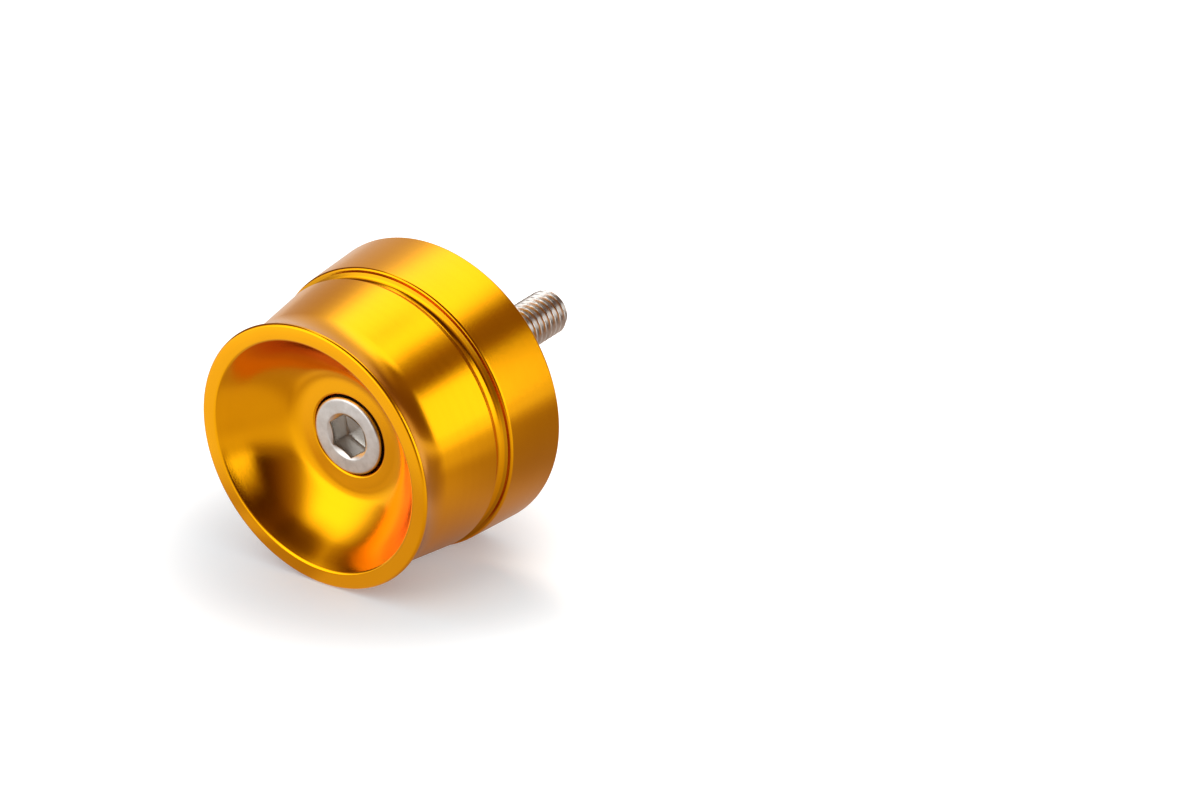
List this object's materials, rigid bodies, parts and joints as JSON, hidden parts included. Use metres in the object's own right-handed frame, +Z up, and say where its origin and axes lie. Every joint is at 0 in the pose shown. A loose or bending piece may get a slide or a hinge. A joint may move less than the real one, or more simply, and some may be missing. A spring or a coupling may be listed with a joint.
{
  "type": "handlebar end weight",
  "caption": "Round dished metal weight with a waisted cone, a groove and a locating boss, held by a socket head cap screw through its centre.",
  "frame": {"origin": "centre of the boss's end face, where the screw comes out of the weight", "axes": "+Y along the screw into the handlebar, the dished end faces -Y, +Z up"},
  "size_m": [0.038, 0.0475, 0.038],
  "materials": {
    "anodised_aluminium": "satin gold anodising over fine turning marks",
    "stainless_steel": "plain cold-formed stainless steel"
  },
  "bodies": {
    "root": {"weight_body": "anodised_aluminium", "cap_screw": "stainless_steel"}
  },
  "joints": []
}
